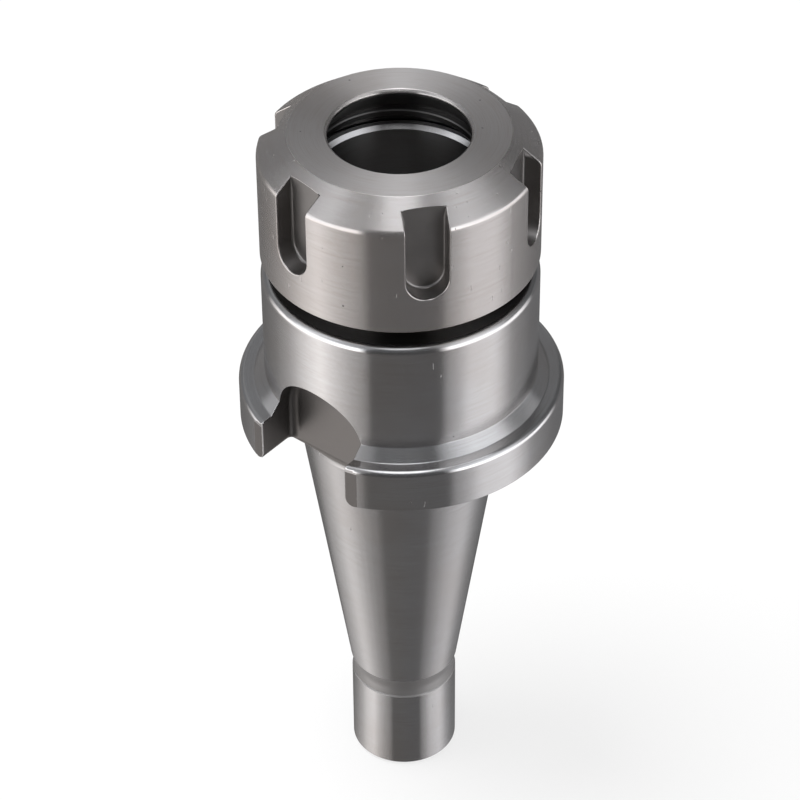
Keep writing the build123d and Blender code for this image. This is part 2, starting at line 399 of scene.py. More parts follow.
class Skin:
    """Faces of one piece, joined where their corners meet, with the true normal kept at each corner."""

    grain = 1e-7
    smallest_area = 1e-13

    def __init__(self):
        self.places, self.points, self.faces, self.normals = {}, [], [], []
        self.finishes = []

    def place(self, point):
        """Number of the corner at this point, new or already there."""
        key = tuple(np.round(np.asarray(point) / self.grain).astype(int).tolist())
        if key not in self.places:
            self.places[key] = len(self.points)
            self.points.append([float(value) for value in point])
        return self.places[key]

    def face(self, corners, finish):
        """Add a face of (place, normal) corners, turned to face the way its normals point."""
        kept = []
        for corner in corners:
            if corner[0] not in [other[0] for other in kept]:
                kept.append(corner)
        if len(kept) < 3:
            return
        points = [self.points[corner[0]] for corner in kept]
        a, b, c = points[0], points[1], points[2]
        if len(points) == 4:
            d = points[3]
            u = [c[i] - a[i] for i in range(3)]
            v = [d[i] - b[i] for i in range(3)]
        else:
            u = [b[i] - a[i] for i in range(3)]
            v = [c[i] - a[i] for i in range(3)]
        cross = (
            u[1] * v[2] - u[2] * v[1],
            u[2] * v[0] - u[0] * v[2],
            u[0] * v[1] - u[1] * v[0],
        )
        if cross[0] ** 2 + cross[1] ** 2 + cross[2] ** 2 < self.smallest_area ** 2:
            return
        facing = sum(
            cross[i] * sum(corner[1][i] for corner in kept) for i in range(3)
        )
        if facing < 0:
            kept.reverse()
        self.faces.append([corner[0] for corner in kept])
        self.normals += [corner[1] for corner in kept]
        self.finishes.append(finish)

    def grid(self, rows, finishes):
        """Add the faces between rows of (points, normals), with a finish for each column."""
        placed = []
        for points, normals in rows:
            placed.append([(self.place(p), tuple(n)) for p, n in zip(points, normals.tolist())])
        for near, far in zip(placed, placed[1:]):
            for index in range(len(near) - 1):
                self.face([near[index], near[index + 1], far[index + 1], far[index]], finishes[index])

    def runs(self, rows, cuts):
        """Add rows in runs of (first row, last row, finish, finish of the columns at each end)."""
        middle = len(rows[0][0]) - 1 - 2 * END_COLUMNS
        for first, last, finish, end_finish in cuts:
            ends = [end_finish] * END_COLUMNS
            self.grid(rows[first:last + 1], ends + [finish] * middle + ends)

    def piece(self, name, materials):
        """The finished mesh object."""
        mesh = bpy.data.meshes.new(name)
        mesh.from_pydata(self.points, [], self.faces)
        mesh.validate()
        for material in materials:
            mesh.materials.append(material)
        mesh.polygons.foreach_set("use_smooth", [True] * len(mesh.polygons))
        mesh.polygons.foreach_set("material_index", self.finishes)
        mesh.normals_split_custom_set(self.normals)
        piece = bpy.data.objects.new(name, mesh)
        bpy.context.scene.collection.objects.link(piece)
        return piece


# Milled slots


class MilledSlot:
    """A round-ended slot milled into a turned piece from the side, square to the axis."""

    finest_break = 0.00003
    corner_share = 0.9

    def __init__(self, half_width, floor, round_centre, end_side, open_height, corner, rim_break, flare=0.0):
        self.half_width, self.floor, self.round_centre = half_width, floor, round_centre
        self.end_side, self.open_height = end_side, open_height
        self.corner, self.rim_break, self.flare = corner, rim_break, flare
        self.foot_break = min(rim_break, self.finest_break)
        self.flat = None

    def reach(self, height, slack):
        """Half of the slot's width at a height, grown by slack."""
        past = (height - self.round_centre) * self.end_side
        if past > 0:
            return sqrt(max(0.0, (self.half_width + slack) ** 2 - past ** 2))
        if self.flare:
            down = self.open_height + self.flare - height
            if down >= self.flare - slack:
                return self.half_width + self.flare
            if down > 0:
                return self.half_width + self.flare - sqrt((self.flare - slack) ** 2 - down ** 2)
        return self.half_width + slack

    def opening(self, radius, height):
        """Half angle of the slot's opening in the turned surface, and whether the floor bounds it."""
        floor = self.floor - self.foot_break
        reach = self.reach(height, self.rim_break)
        if reach <= 0 or radius <= floor:
            return 0.0, radius <= floor + FINEST
        wall = asin(min(1.0, reach / radius))
        end = acos(floor / radius)
        return min(wall, end), end < wall

    def heights(self, steps=14, flare_steps=6):
        """Heights at which an outline needs stations round the slot's ends."""
        radius = self.half_width + self.rim_break
        heights = [
            self.round_centre + self.end_side * radius * sin(step / steps * pi / 2)
            for step in range(steps + 1)
        ]
        centre = self.open_height + self.flare
        if self.flare:
            heights += [
                centre - self.flare * sin(step / flare_steps * pi / 2)
                for step in range(flare_steps)
            ]
        return heights

    def radii(self, steps=8):
        """Radii at which an outline needs stations along the floor's open end."""
        floor = self.floor - self.foot_break
        widest = self.reach(self.open_height, self.rim_break)
        return [hypot(floor, widest * step / steps) for step in range(steps + 1)]

    def wall_normal(self, height):
        """Direction across and up in which the wall faces, on the side that lies forward."""
        past = (height - self.round_centre) * self.end_side
        if past > 0:
            share = min(1.0, past / self.half_width)
            return -sqrt(1 - share ** 2), -share * self.end_side
        if self.flare:
            down = self.open_height + self.flare - height
            if down > 0:
                share = min(1.0, down / self.flare)
                return -sqrt(1 - share ** 2), -share
        return -1.0, 0.0

    def wall_rim(self, station, sunk, foot):
        """Across, depth and height of the wall's or floor's edge beside a station of the outline."""
        radius, height, normal_radius, normal_height = station
        slack = self.rim_break
        opening, on_floor = self.opening(radius, height)
        if on_floor:
            widest = self.reach(self.open_height, 0.0)
            across = radius * sin(opening) * widest / self.reach(self.open_height, slack)
            order = np.argsort(foot[0])
            level = np.interp(hypot(self.floor, across), foot[0][order], foot[1][order])
            return across, self.floor, level, True
        past = (height - self.round_centre) * self.end_side
        if past > 0:
            share = min(1.0, past / (self.half_width + slack))
            level = self.round_centre + self.end_side * self.half_width * share
            across = self.half_width * sqrt(1 - share ** 2)
            order = np.argsort(sunk[1], kind="stable")
            rim_radius = np.interp(level, sunk[1][order], sunk[0][order])
        else:
            level = height - slack * normal_height
            rim_radius = radius - slack * normal_radius
            across = self.reach(level, 0.0)
        return across, sqrt(max(0.0, rim_radius ** 2 - across ** 2)), level, False

    def section(self, station, sunk, foot, corner_steps=5):
        """Points and normals (across, depth, height) from the rim down to the middle of the floor."""
        radius, height, normal_radius, normal_height = station
        opening, _ = self.opening(radius, height)
        surface_normal = (normal_radius * sin(opening), normal_radius * cos(opening), normal_height)
        edge = (radius * sin(opening), radius * cos(opening), height)
        if self.flat is not None:
            edge, surface_normal = self.flat.trim(edge, surface_normal)
        across, depth, level, on_floor = self.wall_rim(station, sunk, foot)
        if self.flat is not None and not on_floor:
            depth = min(depth, self.flat.depth_at(across, level) - self.rim_break)
        wall_across, wall_up = (-1.0, 0.0) if on_floor else self.wall_normal(level)
        floor_normal = (0.0, 1.0, 0.0)
        rim_normal = floor_normal if on_floor else (wall_across, 0.0, wall_up)
        corner = min(self.corner, self.corner_share * max(0.0, depth - self.floor))
        in_flare = self.flare and level < self.open_height + self.flare
        in_across, in_up = (-1.0, 0.0) if in_flare else (wall_across, wall_up)
        in_across = max(in_across, -across / corner) if corner > 0 else in_across
        points = [edge, (across, depth, level)]
        normals = [surface_normal, rim_normal]
        for step in range(corner_steps + 1):
            turn = step / corner_steps * pi / 2
            inset = corner * (1 - cos(turn))
            points.append((
                across + in_across * inset,
                self.floor + corner * (1 - sin(turn)),
                level + in_up * inset,
            ))
            normals.append((
                rim_normal[0] * cos(turn),
                sin(turn) if not on_floor else 1.0,
                rim_normal[2] * cos(turn),
            ))
        points.append((0.0, self.floor, points[-1][2]))
        normals.append(floor_normal)
        return np.array(points), np.array(normals)

    def mill(self, skin, stations, direction):
        """Add both halves of the slot's walls and floor to the skin, facing a direction."""
        open_at = [i for i, s in enumerate(stations) if self.opening(s[0], s[1])[0] > 0]
        cut = stations[max(0, open_at[0] - 1):open_at[-1] + 2]
        sunk, foot = [
            np.array([[s[0] - depth * s[2], s[1] - depth * s[3]] for s in cut]).T
            for depth in (self.rim_break, self.foot_break)
        ]
        sections = [self.section(station, sunk, foot) for station in cut]
        # The rim strip keeps the bright turned steel; the walls and floor take the darker milled colour,
        # partly painted shade.
        finishes = [TURNED] + [MILLED_AND_SHADED] * (len(sections[0][0]) - 2)
        for side in (1, -1):
            axes = facing_axes(direction)
            axes[0] *= side
            skin.grid([(points @ axes, normals @ axes) for points, normals in sections], finishes)


class EdgeFlat:
    """Narrow flat on the flange's rim, beside each wall of a key slot."""

    out_of_reach = 1.0

    def __init__(self, near, far, far_depth, near_depth, low, high):
        self.near, self.far, self.far_depth = near, far, far_depth
        self.slope = (near_depth - far_depth) / (far - near)
        self.low, self.high = low, high

    def depth_at(self, across, height):
        """Depth of the flat's plane, or far outside where it doesn't reach."""
        if not self.low < height < self.high or abs(across) > self.far + FINEST:
            return self.out_of_reach
        return self.far_depth + self.slope * (self.far - abs(across))

    def trim(self, point, normal):
        """A point of the rim and its normal, moved back onto the flat where they stand proud of it."""
        across, depth, height = point
        plane = self.depth_at(across, height)
        if depth <= plane - FINEST:
            return point, normal
        side = 1.0 if across >= 0 else -1.0
        length = hypot(self.slope, 1.0)
        return (across, plane, height), (side * self.slope / length, 1.0 / length, 0.0)


# The two pieces


def shares_of(start, end, count):
    """Evenly spaced values, both ends included."""
    return np.linspace(start, end, count + 1)


def first_where(stations, test):
    """Index of the first station whose radius and height pass a test."""
    return next(index for index, station in enumerate(stations) if test(station[0], station[1]))


def holder_outside(sizes):
    """Outline from the tail face up to the nose thread."""
    pilot = sizes.pilot_diameter / 2
    gauge = sizes.gauge_diameter / 2
    small = gauge - sizes.taper_length * sizes.taper_ratio / 2
    gauge_height = sizes.tail_length + sizes.taper_length
    rear = gauge_height + sizes.rear_face_setback
    front = rear + sizes.flange_thickness
    body = sizes.body_diameter / 2
    flange = sizes.flange_diameter / 2
    shoulder = rear + sizes.shoulder_height
    neck = sizes.neck_diameter / 2
    thread_start = shoulder + sizes.neck_length
    edge = sizes.edge_break
    lip = sizes.relief_start - sizes.relief_lip
    hollow = (sizes.relief_start + sizes.tail_length) / 2
    return turned_outline([
        (sizes.core_diameter / 2 + sizes.drawbar_countersink, 0, 0),
        (pilot - sizes.tail_chamfer, 0, edge),
        (pilot, sizes.tail_chamfer, edge),
        (pilot, lip, sizes.lip_rounding),
        (pilot - sizes.relief_depth, sizes.relief_start, edge),
        (pilot - sizes.relief_sag, hollow, sizes.relief_rounding),
        (small, sizes.tail_length, edge),
        (gauge, gauge_height, edge),
        (gauge, rear, sizes.rear_corner),
        (flange - sizes.flange_rear_chamfer, rear, edge),
        (flange, rear + sizes.flange_rear_chamfer, edge),
        (flange, front, sizes.flange_front_rounding),
        (body + sizes.flange_cone_height, front, sizes.inner_corner),
        (body, front + sizes.flange_cone_height, edge),
        (body, shoulder, sizes.shoulder_rounding),
        (neck, shoulder, sizes.inner_corner),
        (neck, thread_start, sizes.inner_corner),
        (sizes.nose_root_diameter / 2, thread_start, 0),
    ], steps=6)


def holder_inside(sizes, nose):
    """Outline from the nose face down to the drawbar thread."""
    mouth = sizes.socket_mouth_diameter / 2
    bore = sizes.shank_bore_diameter / 2
    passage = sizes.passage_diameter / 2
    core = sizes.core_diameter / 2
    socket_depth = (mouth - bore) / tan(sizes.socket_half_angle)
    bore_floor = nose - sizes.shank_bore_depth
    point_slope = tan(sizes.drill_point)
    edge = sizes.edge_break
    return turned_outline([
        (sizes.nose_face_diameter / 2, nose, 0),
        (mouth + sizes.socket_chamfer, nose, edge),
        (mouth, nose - sizes.socket_chamfer, edge),
        (bore, nose - socket_depth, edge),
        (bore, bore_floor, 0),
        (passage, bore_floor - (bore - passage) / point_slope, 0),
        (passage, sizes.drawbar_depth + (core - passage) / point_slope, 0),
        (core, sizes.drawbar_depth, 0),
        (core, sizes.drawbar_thread_end, 0),
    ])


def key_slot(holder, slot, rear, gauge_height):
    """The milling of one drive key slot, with the flats beside it."""
    half_width = slot.width / 2
    flange = holder.flange_diameter / 2
    milled = MilledSlot(
        half_width, slot.floor, rear + slot.height - half_width, 1, rear,
        slot.corner, slot.rim_break, slot.flare,
    )
    far = half_width + slot.flat_width
    milled.flat = EdgeFlat(
        half_width, far, sqrt(flange ** 2 - far ** 2),
        sqrt(flange ** 2 - half_width ** 2) - slot.flat_depth,
        gauge_height, rear + holder.flange_thickness + holder.flange_cone_height,
    )
    return milled


def holder_piece(sizes, slot_sizes, materials):
    """The turned and milled holder body."""
    gauge_height = sizes.tail_length + sizes.taper_length
    rear = gauge_height + sizes.rear_face_setback
    shoulder = rear + sizes.shoulder_height
    nose = shoulder + sizes.nose_length
    thread_start = shoulder + sizes.neck_length
    slot = key_slot(sizes, slot_sizes, rear, gauge_height)
    outside = add_stations(holder_outside(sizes), slot.heights(), slot.radii())
    nose_thread = Thread(
        sizes.nose_crest_diameter / 2, sizes.nose_root_diameter / 2, sizes.nose_pitch,
        thread_start, nose, sizes.nose_face_diameter / 2, nose, False,
    )
    drawbar_thread = Thread(
        sizes.core_diameter / 2, sizes.drawbar_root_diameter / 2, sizes.drawbar_pitch,
        0.0, sizes.drawbar_thread_end,
        sizes.core_diameter / 2 + sizes.drawbar_countersink, 0.0, True,
    )
    inside = holder_inside(sizes, nose)
    rings = [Ring(station) for station in outside]
    rings += nose_thread.rings()
    nose_face = len(rings)
    rings += [Ring(station) for station in inside]
    rings += drawbar_thread.rings()
    rim_low = rear + sizes.flange_rear_chamfer / 2
    rim_high = rear + sizes.flange_thickness - sizes.flange_front_rounding
    mouth_radius = sizes.socket_mouth_diameter / 2
    rim_start = first_where(outside, lambda radius, height: height > rim_low)
    rim_end = first_where(outside, lambda radius, height: height > rim_high - HAIR)
    shoulder_face = first_where(outside, lambda radius, height: height > shoulder - HAIR)
    socket_mouth = nose_face + first_where(inside, lambda radius, height: radius < mouth_radius + HAIR)
    runs = [
        (0, rim_start, TURNED, TURNED),
        # The flats beside the key slots take the darker milled colour, partly painted shade.
        (rim_start, rim_end, TURNED, MILLED_AND_SHADED),
        (rim_end, shoulder_face, TURNED, TURNED),
        # The gap under the nut: painted shade.
        (shoulder_face, nose_face, GAP_SHADE, GAP_SHADE),
        (nose_face, socket_mouth, TURNED, TURNED),
        # The socket and the bores behind it: painted shade.
        (socket_mouth, len(rings) - 1, RECESS_SHADE, RECESS_SHADE),
    ]
    skin = Skin()
    flat_edge = asin(slot.flat.far / (sizes.flange_diameter / 2))
    for direction in (-pi / 2, pi / 2):
        rows = []
        for ring in rings:
            start = slot.opening(ring.radius, ring.height)[0]
            edge = max(flat_edge, start + SLOT_MARGIN)
            turns = np.concatenate([
                shares_of(start, edge, END_COLUMNS),
                shares_of(edge, pi - edge, HOLDER_COLUMNS),
                shares_of(pi - edge, pi - start, END_COLUMNS),
            ])
            points, normals = ring.at(direction + turns)
            if slot.flat.low < ring.height < slot.flat.high and ring.radius > sizes.body_diameter / 2:
                trim_rim(slot.flat, points, normals, direction)
            rows.append((points, normals))
        skin.runs(rows, runs)
        slot.mill(skin, outside, direction)
    return skin.piece("holder_body_steel", materials)


def trim_rim(flat, points, normals, direction):
    """Move the rim points beside the key slots back onto their flats."""
    flat_columns = END_COLUMNS + 1
    count = len(points)
    for index in list(range(flat_columns)) + list(range(count - flat_columns, count)):
        axes = facing_axes(direction + (pi if index >= flat_columns else 0.0))
        point, normal = flat.trim(tuple(axes @ points[index]), tuple(axes @ normals[index]))
        points[index] = np.array(point) @ axes
        normals[index] = np.array(normal) @ axes


def nut_outside(sizes, rear, front, radius):
    """Outline from the mouth of the thread round the outside to the front hole and the pocket."""
    hole = sizes.hole_diameter / 2
    cone_top = front - sizes.hole_chamfer - sizes.hole_land
    pocket = cone_top - sizes.inner_cone_depth
    cone = hole + sizes.inner_cone_depth * tan(sizes.inner_cone_half_angle)
    edge = sizes.edge_break
    return turned_outline([
        (sizes.thread_mouth_diameter / 2, rear, 0),
        (radius - sizes.rear_chamfer, rear, edge),
        (radius, rear + sizes.rear_chamfer, edge),
        (radius, front - sizes.cone_height, sizes.cone_rounding),
        (sizes.face_diameter / 2, front, sizes.face_edge),
        (hole + sizes.hole_chamfer, front, sizes.hole_rounding),
        (hole, front - sizes.hole_chamfer, sizes.hole_rounding),
        (hole, cone_top, edge),
        (cone, pocket, edge),
        (sizes.pocket_diameter / 2, pocket, edge),
        (sizes.pocket_diameter / 2, pocket - sizes.pocket_depth, 0),
    ], steps=6)


def lip_rings(sizes, lip_top, lip_bottom):
    """Rings round the off-centre bore of the extraction lip."""
    centre = (
        -sizes.lip_offset * cos(sizes.lip_direction),
        -sizes.lip_offset * sin(sizes.lip_direction),
    )
    radius = sizes.lip_diameter / 2
    edge = sizes.lip_edge
    slant_share = sqrt(0.5)
    return [
        Ring((sizes.pocket_diameter / 2, lip_top, 0.0, 1.0)),
        Ring((radius + edge, lip_top, 0.0, 1.0), centre),
        Ring((radius + edge, lip_top, -slant_share, slant_share), centre),
        Ring((radius, lip_top - edge, -slant_share, slant_share), centre),
        Ring((radius, lip_top - edge, -1.0, 0.0), centre),
        Ring((radius, lip_bottom + edge, -1.0, 0.0), centre),
        Ring((radius + edge, lip_bottom, 0.0, -1.0), centre),
        Ring((sizes.relief_diameter / 2, lip_bottom, 0.0, -1.0)),
    ]


def nut_piece(sizes, slot_sizes, pitch, rear, front, radius, materials):
    """The turned and milled clamping nut."""
    half_width = slot_sizes.width / 2
    slot = MilledSlot(
        half_width, slot_sizes.floor, front - slot_sizes.length + half_width, -1, front,
        slot_sizes.corner, slot_sizes.rim_break,
    )
    outside = add_stations(nut_outside(sizes, rear, front, radius), slot.heights(), slot.radii())
    lip_top = outside[-1][1]
    lip_bottom = lip_top - sizes.lip_thickness
    thread_top = lip_bottom - sizes.relief_length
    relief = sizes.relief_diameter / 2
    thread = Thread(
        sizes.thread_crest_diameter / 2, sizes.thread_root_diameter / 2, pitch,
        rear, thread_top, sizes.thread_mouth_diameter / 2, rear, True,
    )
    rings = [Ring(station) for station in outside]
    rings += lip_rings(sizes, lip_top, lip_bottom)
    rings += [
        Ring((relief, lip_bottom, -1.0, 0.0)),
        Ring((relief, thread_top, -1.0, 0.0)),
        Ring((relief, thread_top, 0.0, 1.0)),
    ]
    rings += thread.rings()
    rear_edge = first_where(outside, lambda radius, height: height > rear + HAIR)
    hole_wall = first_where(outside, lambda radius, height: radius < sizes.hole_diameter / 2 + HAIR)
    runs = [
        # The nut's rear face, and from the front hole inwards its insides: painted shade.
        (0, rear_edge, RECESS_SHADE, RECESS_SHADE),
        (rear_edge, hole_wall, TURNED, TURNED),
        (hole_wall, len(rings) - 1, RECESS_SHADE, RECESS_SHADE),
    ]
    skin = Skin()
    step = FULL_TURN / slot_sizes.count
    for index in range(slot_sizes.count):
        direction = slot_sizes.turned + index * step
        rows = []
        for ring in rings:
            start = slot.opening(ring.radius, ring.height)[0]
            rows.append(ring.at(direction + shares_of(start, step - start, NUT_COLUMNS)))
        skin.runs(rows, runs)
        slot.mill(skin, outside, direction)
    return skin.piece("clamping_nut_steel", materials)


# Steel


LEAST_RADIUS = 0.001
WARP_REACH = 0.0004
MARK_DEPTH = 0.00002
STAIN_DEPTH = 0.86
DULL_ROUGHNESS = 0.62
NICK_CELLS, NICK_SHARE, NICK_REACH = 650.0, 0.12, 0.16
SCRATCH_CELLS, SCRATCH_SHARE, SCRATCH_REACH = 1300.0, 0.2, 0.14
SCRATCH_WAYS = [((0.5, 0.3, 0.2), 150.0), ((-0.7, 0.9, 1.2), 220.0)]
GROUND_RINGS = 5200.0
TURNED_RINGS = 4200.0
MILLING_PASSES = (900.0, 900.0, 2600.0)


class NodeBench:
    """Short ways to lay out and join the nodes of one material."""

    def __init__(self, material):
        material.use_nodes = True
        self.tree = material.node_tree
        self.tree.nodes.clear()

    def node(self, kind, **settings):
        """A new node, with its settings and with its inputs linked to sockets or set to values."""
        made = self.tree.nodes.new(kind)
        inputs = settings.pop("inputs", {})
        for name, value in settings.items():
            setattr(made, name, value)
        for socket, value in inputs.items():
            if isinstance(value, bpy.types.NodeSocket):
                self.tree.links.new(value, made.inputs[socket])
            else:
                made.inputs[socket].default_value = value
        return made

    def maths(self, operation, first, second=0.0):
        """The result of one operation on one or two values."""
        return self.node("ShaderNodeMath", operation=operation, inputs={0: first, 1: second}).outputs[0]

    def spread(self, value, low, high, to_low, to_high):
        """Map a value from one range smoothly to another."""
        made = self.node(
            "ShaderNodeMapRange", interpolation_type="SMOOTHSTEP",
            inputs={0: value, 1: low, 2: high, 3: to_low, 4: to_high},
        )
        return made.outputs[0]

    def blend(self, share, first, second):
        """Mix two colours."""
        made = self.node("ShaderNodeMix", data_type="RGBA", inputs={0: share, 6: first, 7: second})
        return made.outputs[2]

    def mixed_output(self, kind, share, first, second):
        """Join a mix of two shaders to an output node of this kind."""
        shaders = {1: first.outputs[0], 2: second.outputs[0]}
        mixed = self.node("ShaderNodeMixShader", inputs={0: share, **shaders})
        self.node(kind, inputs={0: mixed.outputs[0]})


def spindle_coordinates(bench):
    """Place on the piece as direction round the axis, height and radius."""
    place = bench.node("ShaderNodeTexCoord").outputs["Object"]
    parts = bench.node("ShaderNodeSeparateXYZ", inputs={0: place}).outputs
    squares = [bench.maths("MULTIPLY", part, part) for part in (parts[0], parts[1])]
    radius = bench.maths("SQRT", bench.maths("ADD", *squares))
    safe_radius = bench.maths("MAXIMUM", radius, LEAST_RADIUS)
    across = bench.maths("DIVIDE", parts[0], safe_radius)
    along = bench.maths("DIVIDE", parts[1], safe_radius)
    return place, across, along, parts[2], radius


def tool_marks(bench, across, along, height, radius, round_scale, fine_scale, detail):
    """Fine lines that run round the axis."""
    vector = bench.node("ShaderNodeCombineXYZ", inputs={
        0: bench.maths("MULTIPLY", across, round_scale),
        1: bench.maths("MULTIPLY", along, round_scale),
        2: bench.maths("MULTIPLY", height, fine_scale),
    }).outputs[0]
    return bench.node("ShaderNodeTexNoise", noise_dimensions="4D", inputs={
        "Vector": vector,
        "W": bench.maths("MULTIPLY", radius, fine_scale),
        "Scale": 1.0,
        "Detail": detail,
        "Roughness": 0.6,
    }).outputs[0]


def small_marks(bench, place, turned, scales, share, longest):
    """Sparse nicks and scratches: one where a cell's own random value is high."""
    warp = bench.node("ShaderNodeTexNoise", inputs={"Vector": place, "Scale": 900.0, "Detail": 2.0})
    moved = bench.node("ShaderNodeVectorMath", operation="MULTIPLY_ADD", inputs={
        0: warp.outputs[1], 1: (WARP_REACH,) * 3, 2: place,
    })
    laid = bench.node("ShaderNodeMapping", inputs={0: moved.outputs[0], 2: turned, 3: scales}).outputs[0]
    cells = bench.node("ShaderNodeTexVoronoi", inputs={"Vector": laid, "Scale": 1.0})
    value = bench.node("ShaderNodeSeparateColor", inputs={0: cells.outputs[1]}).outputs[0]
    chosen = bench.spread(value, 1.0 - share, 1.0 - share + 0.004, 0.0, 1.0)
    near = bench.spread(cells.outputs[0], longest, longest * 0.45, 0.0, 1.0)
    return bench.maths("MULTIPLY", chosen, near)


def worn_marks(bench, place, wear):
    """Round nicks, and scratches that lie in two directions."""
    nicks = small_marks(bench, place, (0.0, 0.0, 0.0), (NICK_CELLS,) * 3, NICK_SHARE * wear, NICK_REACH)
    scratches = [
        small_marks(
            bench, place, turned, (SCRATCH_CELLS, SCRATCH_CELLS, length_cells),
            SCRATCH_SHARE * wear, SCRATCH_REACH,
        )
        for turned, length_cells in SCRATCH_WAYS
    ]
    return nicks, bench.maths("MAXIMUM", nicks, bench.maths("MAXIMUM", *scratches))


def steel_tint(bench, base, finish, cloud, fine, nicks):
    """The steel's colour with its stains, fine lines and nicks."""
    stained = bench.spread(cloud, 0.42, 0.72, 0.0, 0.55)
    palest = max(finish.stain_colour)
    stain = [STAIN_DEPTH * level * film / palest for level, film in zip(base, finish.stain_colour)]
    tint = bench.blend(stained, (*base, 1.0), (*stain, 1.0))
    tint = bench.blend(bench.spread(fine, 0.46, 0.7, 0.0, 0.9), tint, (*stain, 1.0))
    return bench.blend(bench.maths("MULTIPLY", nicks, 0.85), tint, (*finish.nick_colour, 1.0))


def face_mask(bench, radius, reach):
    """One on a flat face that looks up, inside a radius."""
    facing = bench.node("ShaderNodeSeparateXYZ", inputs={
        0: bench.node("ShaderNodeTexCoord").outputs["Normal"],
    }).outputs[2]
    return bench.maths(
        "MULTIPLY", bench.spread(facing, 0.9, 0.98, 0.0, 1.0),
        bench.spread(radius, reach - 0.0001, reach, 1.0, 0.0),
    )


def band_mask(bench, height, radius, low, high, reach):
    """One between two heights on the outside of the tail."""
    above = bench.spread(height, low - 0.00005, low + 0.00005, 0.0, 1.0)
    below = bench.spread(height, high - 0.00005, high + 0.00005, 1.0, 0.0)
    outside = bench.spread(radius, reach - 0.0005, reach - 0.0002, 0.0, 1.0)
    return bench.maths("MULTIPLY", bench.maths("MULTIPLY", above, below), outside)


def steel(name, base, finish, roughness, haze, ring_scale, wear=0.0, film=0.0, relief_band=None):
    """Hardened steel: a gloss stretched across its tool marks, with a dull share for haze and wear."""
    material = bpy.data.materials.new(name)
    bench = NodeBench(material)
    place, across, along, height, radius = spindle_coordinates(bench)
    coarse = tool_marks(bench, across, along, height, radius, 1.2, ring_scale * 0.8, 2.0)
    fine = tool_marks(bench, across, along, height, radius, 2.5, ring_scale * 4.0, 3.0)
    cloud = bench.node("ShaderNodeTexNoise", inputs={
        "Vector": place, "Scale": 60.0, "Detail": 4.0, "Roughness": 0.55,
    }).outputs[0]
    nicks, marks = worn_marks(bench, place, wear)
    tint = steel_tint(bench, base, finish, cloud, fine, nicks)
    face = face_mask(bench, radius, finish.face_reach)
    rougher = bench.maths("MULTIPLY", face, finish.face_roughness - roughness)
    gloss = bench.maths("ADD", roughness - 0.02, bench.maths("MULTIPLY", fine, 0.04))
    gloss = bench.maths("ADD", gloss, rougher)
    gloss = bench.maths("ADD", gloss, bench.spread(cloud, 0.4, 0.75, 0.0, 0.03))
    dull_share = bench.maths("MAXIMUM", bench.maths("MULTIPLY", marks, 0.9), haze)
    if relief_band:
        band = band_mask(bench, height, radius, *relief_band)
        tint = bench.blend(band, tint, (*finish.relief_colour, 1.0))
        dull_share = bench.maths("MAXIMUM", bench.maths("MULTIPLY", band, 0.85), dull_share)
    grain = bench.maths("ADD", bench.maths("MULTIPLY", coarse, 0.6), bench.maths("MULTIPLY", fine, 0.4))
    grain = bench.maths("SUBTRACT", grain, bench.maths("MULTIPLY", marks, 2.0))
    bump = bench.node("ShaderNodeBump", inputs={"Strength": 0.3, "Distance": MARK_DEPTH, "Height": grain})
    bright = bench.node("ShaderNodeBsdfPrincipled", inputs={
        "Base Color": tint,
        "Metallic": 1.0,
        "Roughness": gloss,
        "Anisotropic": finish.lay,
        "Anisotropic Rotation": 0.25,
        "Normal": bump.outputs[0],
        "Tangent": bench.node("ShaderNodeTangent", direction_type="RADIAL", axis="Z").outputs[0],
    })
    dull = bench.node("ShaderNodeBsdfPrincipled", inputs={
        "Base Color": tint, "Metallic": 1.0 - film, "Roughness": DULL_ROUGHNESS, "Normal": bump.outputs[0],
    })
    bench.mixed_output("ShaderNodeOutputMaterial", dull_share, bright, dull)
    return material


def milled_steel_and_shade(name, base, finish):
    """Dull steel left by the milling cutter, with fine marks of its passes; its darkened base colour is
    partly painted shade in the slots.
    """
    material = bpy.data.materials.new(name)
    bench = NodeBench(material)
    place = bench.node("ShaderNodeTexCoord").outputs["Object"]
    passes = bench.node("ShaderNodeMapping", inputs={0: place, 3: MILLING_PASSES}).outputs[0]
    marks = bench.node("ShaderNodeTexNoise", inputs={
        "Vector": passes, "Scale": 1.0, "Detail": 3.0, "Roughness": 0.55,
    }).outputs[0]
    cloud = bench.node("ShaderNodeTexNoise", inputs={
        "Vector": place, "Scale": 140.0, "Detail": 3.0,
    }).outputs[0]
    tint = bench.blend(bench.spread(cloud, 0.35, 0.7, 0.0, 0.35), (*base, 1.0), (*finish.nick_colour, 1.0))
    bump = bench.node("ShaderNodeBump", inputs={"Strength": 0.3, "Distance": MARK_DEPTH, "Height": marks})
    roughness = bench.maths("ADD", finish.milled_roughness - 0.05, bench.maths("MULTIPLY", marks, 0.1))
    shader = bench.node("ShaderNodeBsdfPrincipled", inputs={
        "Base Color": tint,
        "Metallic": 1.0,
        "Roughness": roughness,
        "Normal": bump.outputs[0],
    })
    bench.node("ShaderNodeOutputMaterial", inputs={0: shader.outputs[0]})
    return material


# Studio


FLOOR_HALF = 4.0
FLOOR_GLOW = 0.72
LIGHT_RADIUS = 1.3
LIGHT_CENTRE = (0.0, 0.0, 0.06)
LAMP_SIZE = 0.5
LAMP_PLACE = Vector((-0.25, -0.15, 0.9))
LAMP_AIM = Vector((0.0, 0.0, 0.05))

